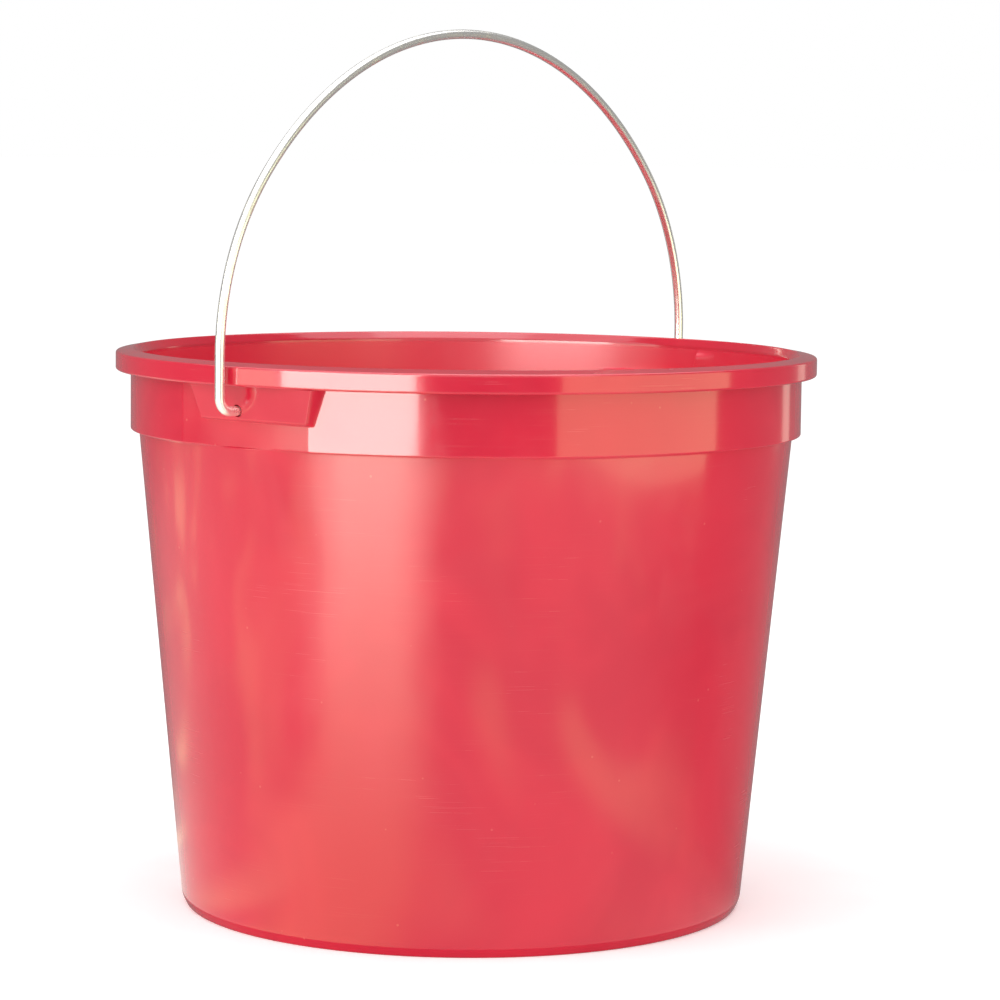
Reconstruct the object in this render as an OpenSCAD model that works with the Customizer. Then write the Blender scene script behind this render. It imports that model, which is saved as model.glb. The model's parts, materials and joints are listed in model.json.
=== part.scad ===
// Wash bucket: a one-piece moulded pail, and the bare wire bail that swings in its two ears.
// Millimetres, +Z up. The origin is at the middle of the foot, on the surface the pail stands on.
// The bail's hinge line lies along X, so the ears are at -X and +X.

/* [Pail] */
// Outside diameter over the rim
rim_d = 226; // [190:1:280]
// Height from the foot to the crest of the rim
pail_h = 180; // [120:1:260]
// Draft of the wall: the angle that it leans out from the vertical
wall_draft = 5.35; // [1:0.1:9]
// Thickness of the tapered wall
wall_t = 1.9; // [1.2:0.1:3]
// Thickness of the floor
floor_t = 2.2; // [1.5:0.1:4]
// Height of the bevel round the foot
foot_bevel_h = 3; // [1:0.1:6]
// How far the bevel brings the foot in
foot_bevel_in = 1.2; // [0.4:0.1:3]
// Width of the ring that the pail stands on
foot_ring_w = 5; // [3:0.5:12]
// Depth of the hollow under the floor, inside that ring
foot_hollow = 1.2; // [0.5:0.1:3]
// Round between the wall and the floor inside
floor_round = 6; // [2:0.5:15]

/* [Rim and collar] */
// How far the rim stands out past the collar
rim_overhang = 4.8; // [3:0.1:8]
// Height of the rim's skirt, from the crest to its lower edge
skirt_h = 6.9; // [5:0.1:12]
// Thickness of the skirt and of the rim's top
rim_t = 2; // [1.4:0.1:3]
// Width of the rim's top, from the crest to the outer face
rim_top_w = 5.5; // [4:0.1:7]
// Fall of the rim's top from the crest to the corner
rim_fall = 1; // [0:0.1:2]
// Radius of the rim's outer corner
rim_round = 0.8; // [0.3:0.1:1.5]
// Depth of the bevel inside the mouth, below the crest
mouth_bevel_h = 2.5; // [1:0.1:4]
// Draft of the inside of the collar from vertical, below that bevel
mouth_draft = 4; // [0:0.5:6]
// Height of the collar, from the crest to its lower edge
collar_h = 26; // [22:0.5:50]
// Thickness of the collar
collar_t = 2.2; // [1.4:0.1:3]
// How far the wall steps in under the collar
collar_step = 2.7; // [2:0.1:5]

/* [Ears] */
// Width of the flat that each ear takes from the collar
flat_w = 51.6; // [40:0.2:60]
// Height of the raised pad, below the skirt
pad_h = 10.8; // [10:0.1:16]
// Width of the pad at the skirt
pad_top_w = 50; // [30:0.5:56]
// Width of the pad at its lower edge
pad_low_w = 43; // [24:0.5:50]
// How far the pad is set to one side of the wire
pad_shift = 6.2; // [0:0.1:8]
// How far the pad stands out from the flat at the skirt
pad_top_out = 4.3; // [2:0.1:5]
// How far the pad stands out from the flat at its lower edge
pad_low_out = 2.8; // [1:0.1:5]
// Depth of the wire's hole below the crest
hinge_drop = 14.6; // [12:0.1:17]
// Height above the hinge line of the floor of the recess behind the pad
recess_rise = 3; // [2.6:0.1:5]

/* [Bail] */
// Diameter of the wire
wire_d = 3; // [2:0.1:4]
// Gap all round the wire in its hole
hole_gap = 0.3; // [0.2:0.05:0.6]
// Gap between the bail's legs and the rim
leg_gap = 1.3; // [0.6:0.1:5]
// Gap by which the top of the bail clears the rim as it swings past
pass_gap = 0.4; // [0.2:0.1:10]
// Length of each leg that runs straight up from the hinge line
leg_h = 16.7; // [10:0.1:30]
// Angle that each shoulder turns through before the top arc starts
shoulder_angle = 40; // [25:1:60]
// Radius of the bends in the middle of the wire, outside the ear
outer_bend_r = 4.5; // [3.5:0.1:6]
// Radius of the bends in the middle of the wire, inside the ear
inner_bend_r = 3; // [2.5:0.1:5]
// Gap between the turned-down end and the inside of the ear
hook_gap = 0.4; // [0.3:0.1:2]
// Length of the turned-down end below the hinge line
hook_h = 9; // [6:0.5:10]

/* [Hidden] */
$fn = 128;
eps = 0.01;
bead = 0.02;
pail_colour = "#DB3A4C";
wire_colour = "#D9D9D6";

// Levels of the pail
skirt_z = pail_h - skirt_h;
collar_z = pail_h - collar_h;
hinge_z = pail_h - hinge_drop;
pad_z = skirt_z - pad_h;
recess_z = hinge_z + recess_rise;
corner_z = pail_h - rim_fall - rim_round;
shelf_z = collar_z + collar_t;
mouth_z = pail_h - mouth_bevel_h;
web_z = skirt_z + rim_t;
groove_z = pail_h - rim_fall - rim_round - rim_t;

// Radii of the pail
rim_r = rim_d / 2;
crest_r = rim_r - rim_top_w;
collar_r = rim_r - rim_overhang;
mouth_r = collar_r - collar_t;
wall_r = collar_r - collar_step;
foot_r = wall_r - collar_z * tan(wall_draft);

// Planes of the ears, as distances from the pail's axis
flat_x = sqrt(pow(collar_r, 2) - pow(flat_w / 2, 2));
flat_in_x = flat_x - collar_t;

// Line of the bail
wire_r = wire_d / 2;
leg_x = rim_r + leg_gap + wire_r;
top_z = hinge_z + norm([rim_r, corner_z - hinge_z]) + pass_gap + wire_r;
arch_h = top_z - hinge_z - leg_h;
arch_k = 1 / cos(shoulder_angle) - tan(shoulder_angle);
shoulder_r = (arch_h - leg_x * arch_k) / (1 - arch_k);
shoulder_x = leg_x - shoulder_r;
top_r = shoulder_r + shoulder_x / cos(shoulder_angle);
hook_start_x = flat_in_x - hook_gap;
hook_x = hook_start_x - inner_bend_r;

// Outside radius of the tapered wall at height z
function wall_r_at(z) = foot_r + z * tan(wall_draft);

// Inside radius of the collar at height z
function mouth_r_at(z) = mouth_r - (mouth_z - z) * tan(mouth_draft);

// Points of an arc of radius r about [x, z], from angle a to angle b
function arc(x, z, r, a, b, n = 8) =
    [for (i = [0 : n]) let (t = a + (b - a) * i / n) [x + r * cos(t), z + r * sin(t)]];

// What the pail fills seen from outside: foot, wall, collar, skirt and the rim's sloping top
module pail_outside() rotate_extrude() {
    hollow_r = foot_r - foot_bevel_in - foot_ring_w;
    top_slope = rim_fall / (rim_top_w - rim_round);
    polygon(concat(
        [[0, foot_hollow], [hollow_r - foot_hollow, foot_hollow], [hollow_r, 0],
         [foot_r - foot_bevel_in, 0], [wall_r_at(foot_bevel_h), foot_bevel_h],
         [wall_r, collar_z], [collar_r, collar_z], [collar_r, groove_z],
         [rim_r - rim_t, groove_z], [rim_r - rim_t, skirt_z], [rim_r, skirt_z]],
        arc(rim_r - rim_round, corner_z, rim_round, 0, 90),
        [[crest_r - 1, pail_h + top_slope], [0, pail_h + top_slope]]
    ));
}

// What the pail holds: floor, wall, shelf, collar and the bevel of the mouth
module pail_inside() rotate_extrude() {
    floor_z = foot_hollow + floor_t;
    floor_r = wall_r_at(floor_z + floor_round) - wall_t - floor_round;
    bevel_slope = (crest_r - mouth_r) / mouth_bevel_h;
    polygon(concat(
        [[0, floor_z]],
        arc(floor_r, floor_z + floor_round, floor_round, -90, 0),
        [[wall_r_at(shelf_z) - wall_t, shelf_z], [mouth_r_at(shelf_z), shelf_z],
         [mouth_r, mouth_z], [crest_r + bevel_slope, pail_h + 1], [0, pail_h + 1]]
    ));
}

// What an ear cuts away: the round of the collar outside the ear's flat
module ear_cut() {
    translate([flat_x, -collar_r, collar_z - eps])
        cube([collar_r, 2 * collar_r, skirt_z - collar_z + eps]);
}

// What stays solid behind an ear: all beyond the inner face of the flat, less the recess
module ear_backing() difference() {
    translate([flat_in_x, -collar_r, collar_z])
        cube([collar_r, 2 * collar_r, web_z - collar_z]);
    intersection() {
        translate([0, -2 * collar_r, recess_z]) cube(4 * collar_r);
        pad_outline(collar_t);
    }
}

// Everything inside the pad's outline seen along X, whose ends slant; inset moves the ends inwards
module pad_outline(inset = 0) {
    low_y = pad_low_w / 2 - inset;
    top_y = pad_top_w / 2 - inset;
    rotate([90, 0, 90]) linear_extrude(2 * collar_r) translate([pad_shift, 0])
        polygon([[-low_y, pad_z], [low_y, pad_z], [top_y, skirt_z], [top_y, pail_h],
                 [-top_y, pail_h], [-top_y, skirt_z]]);
}

// The raised pad: its face leans in towards its lower edge
module ear_pad() {
    intersection() {
        rotate([90, 0, 0]) translate([0, 0, -collar_r]) linear_extrude(2 * collar_r)
            polygon([[flat_in_x, pad_z], [flat_x + pad_low_out, pad_z],
                     [flat_x + pad_top_out, skirt_z], [flat_in_x, skirt_z]]);
        pad_outline();
    }
}

// Both ears: the second is the first one turned half round
module at_ears() {
    for (turn = [0, 180]) rotate([0, 0, turn]) children();
}

module pail() color(pail_colour) difference() {
    union() {
        difference() {
            pail_outside();
            at_ears() ear_cut();
        }
        at_ears() ear_pad();
    }
    difference() {
        pail_inside();
        at_ears() ear_backing();
    }
    at_ears() translate([flat_in_x - 1, 0, hinge_z]) rotate([0, 90, 0])
        cylinder(d = wire_d + 2 * hole_gap, h = collar_t + pad_top_out + 2);
}

// A bend of the wire in the XZ plane, about [x, z], that starts at angle a and turns by sweep
module wire_bend(x, z, r, a, sweep) {
    translate([x, 0, z]) rotate([90, 0, 0]) rotate([0, 0, a])
        rotate_extrude(angle = sweep) translate([r, 0]) circle(r = wire_r);
}

// A straight run of the wire from [x, z], turned by lean from +Z towards +X
module wire_run(x, z, lean, len) {
    translate([x, 0, z]) rotate([0, lean, 0]) cylinder(r = wire_r, h = len);
}

// The bead that joins two runs of the wire at [x, z], a hair thicker than the wire
module wire_joint(x, z) {
    translate([x, 0, z]) sphere(r = wire_r + bead);
}

// One half of the bail, from the turned-down end to the top
module half_bail() {
    wire_run(hook_x, hinge_z - hook_h, 0, hook_h - inner_bend_r);
    wire_joint(hook_x, hinge_z - inner_bend_r);
    wire_joint(hook_start_x, hinge_z);
    wire_joint(leg_x - outer_bend_r, hinge_z);
    wire_joint(leg_x, hinge_z + outer_bend_r);
    wire_joint(leg_x, hinge_z + leg_h);
    wire_joint(shoulder_x + shoulder_r * cos(shoulder_angle),
               hinge_z + leg_h + shoulder_r * sin(shoulder_angle));
    wire_bend(hook_start_x, hinge_z - inner_bend_r, inner_bend_r, 90, 90);
    wire_run(hook_start_x, hinge_z, 90, leg_x - outer_bend_r - hook_start_x);
    wire_bend(leg_x - outer_bend_r, hinge_z + outer_bend_r, outer_bend_r, 270, 90);
    wire_run(leg_x, hinge_z + outer_bend_r, 0, leg_h - outer_bend_r);
    wire_bend(shoulder_x, hinge_z + leg_h, shoulder_r, 0, shoulder_angle);
}

module bail() color(wire_colour) {
    half_bail();
    rotate([0, 0, 180]) half_bail();
    wire_bend(0, top_z - top_r, top_r, shoulder_angle, 180 - 2 * shoulder_angle);
}

pail();
bail();
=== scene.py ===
"""Looks for a wash bucket: a glossy moulded pail and the bare zinc plated wire bail that swings in its ears.

Everything is in metres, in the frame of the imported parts: +Z up, the pail's axis on Z, the foot on the
floor, and the bail's hinge line along X. Each new piece is a surface worked out with numpy on a grid of
rows and columns, and each finish is a set of shader nodes that read Object coordinates or the piece's UV.
"""

import json
import logging
from dataclasses import dataclass, field
from enum import Enum
from math import cos, pi, radians, sin, tan
from typing import Any, Sequence

import bpy
import numpy as np
from mathutils import Matrix, Vector


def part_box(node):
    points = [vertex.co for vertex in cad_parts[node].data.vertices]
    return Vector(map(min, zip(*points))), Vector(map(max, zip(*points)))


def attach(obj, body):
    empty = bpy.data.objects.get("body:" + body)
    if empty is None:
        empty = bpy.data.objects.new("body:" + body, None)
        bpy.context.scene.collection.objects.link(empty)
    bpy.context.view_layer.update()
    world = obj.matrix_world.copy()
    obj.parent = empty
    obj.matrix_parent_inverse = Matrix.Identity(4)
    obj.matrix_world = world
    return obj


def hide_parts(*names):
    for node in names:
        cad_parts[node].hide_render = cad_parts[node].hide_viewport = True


MM = 0.001
TINY = 1e-9
Colour = tuple[float, float, float, float]

log = logging.getLogger("wash_bucket")
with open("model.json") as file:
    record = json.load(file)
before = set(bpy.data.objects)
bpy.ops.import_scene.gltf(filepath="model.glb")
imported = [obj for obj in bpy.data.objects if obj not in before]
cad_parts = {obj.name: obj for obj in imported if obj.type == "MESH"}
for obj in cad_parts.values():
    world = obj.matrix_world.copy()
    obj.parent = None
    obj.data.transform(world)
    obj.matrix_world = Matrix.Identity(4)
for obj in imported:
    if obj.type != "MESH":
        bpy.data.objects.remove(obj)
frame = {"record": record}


# ---- Shader graphs ----


class Sock:
    """An output socket that takes part in shader maths written as Python expressions."""

    def __init__(self, graph: "Graph", socket: bpy.types.NodeSocket) -> None:
        """Wrap an output socket of a graph."""
        self.graph = graph
        self.socket = socket

    def _math(self, operation: str, first: Any, second: Any) -> "Sock":
        """Result of a Math node on two values, each a number or a Sock."""
        return self.graph.node("ShaderNodeMath", {"operation": operation}, {0: first, 1: second})

    def __add__(self, other: Any) -> "Sock":
        """Sum of this and another value."""
        return self._math("ADD", self, other)

    def __radd__(self, other: Any) -> "Sock":
        """Sum of another value and this."""
        return self._math("ADD", other, self)

    def __sub__(self, other: Any) -> "Sock":
        """This less another value."""
        return self._math("SUBTRACT", self, other)

    def __rsub__(self, other: Any) -> "Sock":
        """Another value less this."""
        return self._math("SUBTRACT", other, self)

    def __mul__(self, other: Any) -> "Sock":
        """Product of this and another value."""
        return self._math("MULTIPLY", self, other)

    def __rmul__(self, other: Any) -> "Sock":
        """Product of another value and this."""
        return self._math("MULTIPLY", other, self)

    def above(self, low: float, high: float) -> "Sock":
        """Rise smoothly from 0 at low to 1 at high.

        Args:
            low: The value where the rise starts.
            high: The value where it ends.

        Returns:
            The smooth step.
        """
        settings = {"interpolation_type": "SMOOTHSTEP", "clamp": True}
        inputs = {"Value": self, "From Min": low, "From Max": high}
        return self.graph.node("ShaderNodeMapRange", settings, inputs)

    def beside(self, output: Any) -> "Sock":
        """Another output of the same node, by its name or number."""
        return Sock(self.graph, self.socket.node.outputs[output])


@dataclass(frozen=True)
class Pattern:
    """A fractal noise: features per unit, finer octaves and their strength, and its own distortion.

    It may be read at coordinates turned and stretched first, and be passed through a smooth step.
    """

    scale: float
    detail: float = 2.0
    rough: float = 0.5
    bend: float = 0.0
    stretch: tuple[float, ...] = ()
    turn: tuple[float, float, float] = (0.0, 0.0, 0.0)
    rise: tuple[float, ...] = ()


class Graph:
    """The node tree of one material or world, with one method that adds any node."""

    def __init__(self, owner: Any) -> None:
        """Start an empty tree in a material or a world."""
        owner.use_nodes = True
        self.tree = owner.node_tree
        self.tree.nodes.clear()

    def node(self, kind: str, settings: dict[str, Any], inputs: dict[Any, Any],
             output: Any = 0) -> "Sock | None":
        """Add a node, set it up, then give its sockets their values or links.

        Args:
            kind: The node's type name.
            settings: The node's own settings.
            inputs: A number, colour, vector or Sock for each input named or numbered.
            output: The name or number of the output to return.

        Returns:
            The chosen output, or None from a node that has none.
        """
        made = self.tree.nodes.new(kind)
        for name, value in settings.items():
            setattr(made, name, value)
        for key, value in inputs.items():
            if isinstance(value, Sock):
                self.tree.links.new(value.socket, made.inputs[key])
            else:
                made.inputs[key].default_value = value
        return Sock(self, made.outputs[output]) if len(made.outputs) else None

    def place(self) -> Sock:
        """Object coordinates, in metres."""
        return self.node("ShaderNodeTexCoord", {}, {}, "Object")

    def stretched(self, place: Sock, scale: Sequence[float], turn: Sequence[float]) -> Sock:
        """Coordinates turned by angles in radians about X, Y and Z, and scaled along each."""
        return self.node("ShaderNodeMapping", {}, {"Vector": place, "Scale": scale, "Rotation": turn})

    def noise(self, place: Sock, pattern: Pattern) -> Sock:
        """Add a noise pattern.

        Args:
            place: The coordinates it is read at.
            pattern: The pattern.

        Returns:
            Its value, near 0.5 on average, or the smooth step of that value.
        """
        if pattern.stretch:
            place = self.stretched(place, pattern.stretch, pattern.turn)
        inputs = {"Vector": place, "Scale": pattern.scale, "Detail": pattern.detail,
                  "Roughness": pattern.rough, "Distortion": pattern.bend}
        value = self.node("ShaderNodeTexNoise", {}, inputs, "Fac")
        return value.above(*pattern.rise) if pattern.rise else value

    def mixed(self, factor: Any, first: Any, second: Any) -> Sock:
        """Blend of two colours, with factor 0 for the first and 1 for the second."""
        return self.node("ShaderNodeMix", {"data_type": "RGBA"}, {0: factor, 6: first, 7: second}, 2)

    def relief(self, height: Sock) -> Sock:
        """Bumped normal of a surface whose height is given in metres."""
        return self.node("ShaderNodeBump", {}, {"Height": height, "Distance": 1.0, "Strength": 1.0})

    def surface(self, inputs: dict[str, Any]) -> None:
        """End the tree in a Principled shader with these values and links."""
        shader = self.node("ShaderNodeBsdfPrincipled", {}, inputs)
        self.node("ShaderNodeOutputMaterial", {}, {"Surface": shader})


def colour(red: float, green: float, blue: float) -> Colour:
    """An opaque colour from linear red, green and blue."""
    return (red, green, blue, 1.0)


# ---- Finishes ----


@dataclass(frozen=True)
class MouldedPlastic:
    """Glossy moulded polyethylene: wavy, faintly mottled, scuffed with hairlines and dotted with specks, and
    painted light as a brighter red inside.
    """

    name: str = "glossy_red_plastic"
    deep: Colour = colour(0.62, 0.010, 0.038)
    bright: Colour = colour(0.70, 0.017, 0.046)
    # Painted light: the inside gets a brighter red than the outside, standing in for the glow of light inside
    # the pail.
    inside: Colour = colour(0.78, 0.018, 0.056)
    scuffed: Colour = colour(0.80, 0.16, 0.15)
    gloss: float = 0.13
    scuff_roughness: float = 0.14
    inside_roughness: float = 0.16
    wave_height: float = 0.35 * MM
    peel_height: float = 0.004 * MM
    scratch_depth: float = 0.002 * MM
    scratch_tint: float = 0.07
    speck_scale: float = 210.0
    speck_edge: tuple[float, float] = (0.055, 0.10)
    speck_choice: tuple[float, float] = (0.86, 0.88)
    speck_tint: float = 0.35
    smear_roughness: float = 0.09
    coat: float = 0.35
    coat_roughness: float = 0.06
    glow_depth: float = 2.0 * MM
    glow_weight: float = 0.06
    mottle: Pattern = Pattern(13.0, 3.0, 0.55, 0.6, rise=(0.36, 0.66))
    waves: Pattern = Pattern(19.0, 1.5, 0.4, 0.4, (1.0, 1.0, 0.55))
    swirl: Pattern = Pattern(7.0, 1.0, 0.4, 1.4, (1.0, 1.0, 0.8), (0.3, 0.2, 0.0))
    peel: Pattern = Pattern(900.0, 1.0)
    smear: Pattern = Pattern(31.0, 4.0, 0.62, 1.1, (1.0, 1.0, 0.45), (0.2, 0.5, 0.0), (0.45, 0.72))
    scratched_areas: Pattern = Pattern(22.0, rise=(0.48, 0.66))
    scratch_sets: tuple[Pattern, Pattern] = (
        Pattern(1.0, 1.0, 0.5, 0.0, (30.0, 30.0, 3400.0), (1.1, 0.15, 0.3), (0.66, 0.76)),
        Pattern(1.0, 1.0, 0.5, 0.0, (42.0, 42.0, 3400.0), (-0.9, 0.8, 0.4), (0.66, 0.76)),
    )

    def hairlines(self, graph: Graph, place: Sock) -> Sock:
        """Fine straight scratches: two noises squeezed along an axis, of which only crests are kept.

        Args:
            graph: The graph to draw in.
            place: Object coordinates.

        Returns:
            A mask, 1 on a scratch.
        """
        areas = graph.noise(place, self.scratched_areas)
        first, second = (graph.noise(place, pattern) * areas for pattern in self.scratch_sets)
        return first + second

    def specks(self, graph: Graph, place: Sock) -> Sock:
        """Dust and pits: the middles of a few cells of a Voronoi pattern.

        Args:
            graph: The graph to draw in.
            place: Object coordinates.

        Returns:
            A mask, 1 on a speck.
        """
        inputs = {"Vector": place, "Scale": self.speck_scale, "Randomness": 1.0}
        distance = graph.node("ShaderNodeTexVoronoi", {}, inputs, "Distance")
        cell = distance.beside("Color")
        chosen = graph.node("ShaderNodeSeparateColor", {}, {"Color": cell}, "Red").above(*self.speck_choice)
        return (1.0 - distance.above(*self.speck_edge)) * chosen

    def material(self) -> bpy.types.Material:
        """Make the finish.

        Returns:
            The material.
        """
        made = bpy.data.materials.new(self.name)
        graph = Graph(made)
        place = graph.place()
        inside = graph.node("ShaderNodeAttribute", {"attribute_name": "inside"}, {}, "Fac")
        scratches, specks = self.hairlines(graph, place), self.specks(graph, place)
        tint = graph.mixed(graph.noise(place, self.mottle), self.deep, self.bright)
        # Painted light: the inside mask swaps in the brighter red that stands in for the glow inside the
        # pail.
        tint = graph.mixed(inside, tint, self.inside)
        tint = graph.mixed(scratches * self.scratch_tint + specks * self.speck_tint, tint, self.scuffed)
        rough = (
            self.gloss
            + graph.noise(place, self.smear) * self.smear_roughness
            + scratches * self.scuff_roughness
            + inside * self.inside_roughness
        )
        height = (
            graph.noise(place, self.waves) * self.wave_height
            + graph.noise(place, self.swirl) * self.wave_height
            + graph.noise(place, self.peel) * self.peel_height
            - scratches * self.scratch_depth
            + specks * (self.scratch_depth * 2.0)
        )
        graph.surface({
            "Base Color": tint,
            "Roughness": rough,
            "Normal": graph.relief(height),
            "IOR": 1.53,
            "Specular IOR Level": 0.5,
            "Coat Weight": self.coat - inside * self.coat,
            "Coat Roughness": self.coat_roughness,
            "Subsurface Weight": self.glow_weight,
            "Subsurface Radius": (0.9, 0.12, 0.12),
            "Subsurface Scale": self.glow_depth,
        })
        return made


@dataclass(frozen=True)
class ZincWire:
    """Bright zinc plated wire: drawn lines along its length, faint spangles and duller patches."""

    name: str = "zinc_plated_wire"
    bright: Colour = colour(0.90, 0.885, 0.85)
    dull: Colour = colour(0.74, 0.715, 0.66)
    metallic: float = 0.84
    gloss: float = 0.22
    line_height: float = 0.006 * MM
    line_roughness: float = 0.06
    spangle_height: float = 0.01 * MM
    spangle_scale: float = 620.0
    wear_roughness: float = 0.16
    drawn_lines: Pattern = Pattern(1.0, 2.0, stretch=(60.0, 5200.0, 1.0))
    wear: Pattern = Pattern(90.0, 3.0, 0.6, rise=(0.50, 0.68))

    def material(self) -> bpy.types.Material:
        """Make the finish. The wire's UV map holds metres along it and metres around it.

        Returns:
            The material.
        """
        made = bpy.data.materials.new(self.name)
        graph = Graph(made)
        along = graph.node("ShaderNodeUVMap", {"uv_map": "wire"}, {})
        place = graph.place()
        lines = graph.noise(along, self.drawn_lines)
        inputs = {"Vector": place, "Scale": self.spangle_scale, "Randomness": 1.0}
        spangle = graph.node("ShaderNodeTexVoronoi", {"feature": "SMOOTH_F1"}, inputs, "Distance")
        wear = graph.noise(place, self.wear)
        rough = self.gloss + wear * self.wear_roughness + lines * self.line_roughness
        height = lines * self.line_height + spangle * self.spangle_height
        graph.surface({
            "Base Color": graph.mixed(wear, self.bright, self.dull),
            "Metallic": self.metallic,
            "Roughness": rough,
            "Normal": graph.relief(height),
        })
        return made


@dataclass(frozen=True)
class StudioFloor:
    """Plain pale matt floor."""

    name: str = "pale_floor"
    tone: Colour = colour(0.97, 0.97, 0.97)
    worn: Colour = colour(0.94, 0.94, 0.94)
    lift: float = 0.20
    grain: Pattern = Pattern(40.0, 3.0, rise=(0.3, 0.7))

    def material(self) -> bpy.types.Material:
        """Make the finish.

        Returns:
            The material.
        """
        made = bpy.data.materials.new(self.name)
        graph = Graph(made)
        graph.surface({
            "Base Color": graph.mixed(graph.noise(graph.place(), self.grain), self.worn, self.tone),
            "Roughness": 1.0,
            "Specular IOR Level": 0.0,
            "Emission Color": self.tone,
            "Emission Strength": self.lift,
        })
        return made


# ---- Surfaces on grids ----

# Rows of every rounded corner
ARC_ROWS = 6


def smooth_step(value: np.ndarray) -> np.ndarray:
    """Cubic step: 0 up to 0, 1 from 1 on, and 3 v squared less 2 v cubed between."""
    inside = np.clip(value, 0.0, 1.0)
    return inside * inside * (3.0 - 2.0 * inside)


def smooth_min(first: np.ndarray, second: np.ndarray, blend: float) -> np.ndarray:
    """The lower of two surfaces, with their crease rounded.

    Formula: the minimum, less the square of (blend less the difference) over four times the blend,
    where the two differ by less than the blend.

    Args:
        first: One height.
        second: The other height.
        blend: The difference within which they blend.

    Returns:
        The rounded minimum.
    """
    overlap = np.maximum(blend - np.abs(first - second), 0.0)
    return np.minimum(first, second) - overlap**2 / (4.0 * blend)


def eased(start: float, stop: float, cells: int) -> np.ndarray:
    """Positions from start to stop that crowd towards both ends along half a cosine wave."""
    return start + (stop - start) * (1.0 - np.cos(np.linspace(0.0, pi, cells + 1))) / 2.0


def rounded_corner(before: np.ndarray, corner: np.ndarray, after: np.ndarray, radius: float) -> np.ndarray:
    """Round one corner of many sections at once.

    Formula: the arc is a rational quadratic curve from one tangent point to the other, controlled by the
    corner with a weight of the sine of half the angle between the two sides. Each tangent point lies the
    radius over the tangent of that half angle away, but never past 0.45 of a side.

    Args:
        before: The corners before, one row each for the sections.
        corner: The corners to round.
        after: The corners after.
        radius: Radius of the arc.

    Returns:
        Points with the shape (rows of an arc, sections, 2).
    """
    side_in, side_out = before - corner, after - corner
    length_in = np.linalg.norm(side_in, axis=1, keepdims=True)
    length_out = np.linalg.norm(side_out, axis=1, keepdims=True)
    unit_in, unit_out = side_in / np.maximum(length_in, TINY), side_out / np.maximum(length_out, TINY)
    half = np.arccos(np.clip((unit_in * unit_out).sum(1, keepdims=True), -1.0, 1.0)) / 2.0
    reach = np.minimum(radius / np.maximum(np.tan(half), TINY), 0.45 * np.minimum(length_in, length_out))
    start, stop, weight = corner + unit_in * reach, corner + unit_out * reach, np.sin(half)
    s = np.linspace(0.0, 1.0, ARC_ROWS)[:, None, None]
    share_in, share_mid, share_out = (1.0 - s) ** 2, 2.0 * weight * s * (1.0 - s), s**2
    return (share_in * start + share_mid * corner + share_out * stop) / (share_in + share_mid + share_out)


@dataclass(frozen=True)
class Corner:
    """A corner of many sections at once: radius, height, rounding, and cells on the stretch after it.

    A first corner without cells, or a last one that no stretch leads to, only gives a direction.
    """

    radius: Any
    z: float
    rounding: float = 0.0
    cells: int = 0


def chain(corners: Sequence[Corner], sections: int) -> np.ndarray:
    """Walk many sections at once along their corners, rounding each inner corner.

    Args:
        corners: The corners in order, each with one radius, or one for every section.
        sections: Number of sections.

    Returns:
        Points with the shape (rows, sections, 2).
    """
    blank = np.zeros(sections)
    points = np.array([np.stack([blank + corner.radius, blank + corner.z], axis=-1) for corner in corners])
    inner = range(1, len(corners) - 1)
    stops = [rounded_corner(points[k - 1], points[k], points[k + 1], corners[k].rounding) for k in inner]
    if corners[0].cells:
        stops.insert(0, points[:1])
    if corners[-2].cells:
        stops.append(points[-1:])
    rows = [stops[0]]
    for here, following, cells in zip(stops[:-1], stops[1:], [k.cells for k in corners if k.cells]):
        share = eased(0.0, 1.0, cells)[1:-1, None, None]
        rows.append(here[-1] + (following[0] - here[-1]) * share)
        rows.append(following)
    return np.concatenate(rows)


def polar(row: np.ndarray) -> tuple[np.ndarray, np.ndarray]:
    """Radius and angle of each point (distance out, offset across, height) of a row."""
    return np.hypot(row[:, 0], row[:, 1]), np.arctan2(row[:, 1], row[:, 0])


def grid_quads(rows: int, columns: int) -> np.ndarray:
    """Corner numbers of every cell of a grid whose last column joins the first, facing outwards.

    Args:
        rows: Number of rows of points.
        columns: Number of points in a row.

    Returns:
        An array with the shape (rows - 1, columns, 4).
    """
    row, column = np.meshgrid(np.arange(rows - 1), np.arange(columns), indexing="ij")
    beside = (column + 1) % columns
    here, above = row * columns, (row + 1) * columns
    return np.stack([here + column, here + beside, above + beside, above + column], axis=-1)


def make_piece(name: str, points: np.ndarray, faces: Sequence[np.ndarray],
               finish: bpy.types.Material) -> bpy.types.Object:
    """Turn points and faces into a smooth shaded object at the origin.

    Args:
        name: The piece's name.
        points: Points with the shape (count, 3).
        faces: Arrays of triangles or quads, as point numbers.
        finish: The material.

    Returns:
        The object.
    """
    mesh = bpy.data.meshes.new(name)
    mesh.from_pydata(points.tolist(), [], [face for block in faces for face in block.tolist()])
    mesh.polygons.foreach_set("use_smooth", np.ones(len(mesh.polygons), dtype=bool))
    mesh.materials.append(finish)
    mesh.update()
    piece = bpy.data.objects.new(name, mesh)
    bpy.context.scene.collection.objects.link(piece)
    return piece


# ---- The pail ----

# Distances from a crease, from the edge of a raised pad, from a step on the inside and from the lower
# edge of the skirt, at which columns and rows run along it
CREASE = np.array([-0.8, -0.5, -0.25, 0.0, 0.25, 0.5, 0.8]) * MM
EDGE = np.array([-1.0, -0.6, -0.4, -0.25, -0.1, 0.0, 0.1, 0.25, 0.4, 0.6, 1.0]) * MM
STEP = np.array([1.2, 0.6, 0.35, 0.2, 0.0, -0.2, -0.35, -0.6, -1.2]) * MM
UNDER_SKIRT = np.array([-0.12, -0.05, -0.02]) * MM
# Rows of each rounded lip of a hole
LIP_ROWS = 4


class Ear(Enum):
    """The two ears, as the side of the axis that each stands on."""

    RIGHT = 1.0
    LEFT = -1.0


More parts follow.
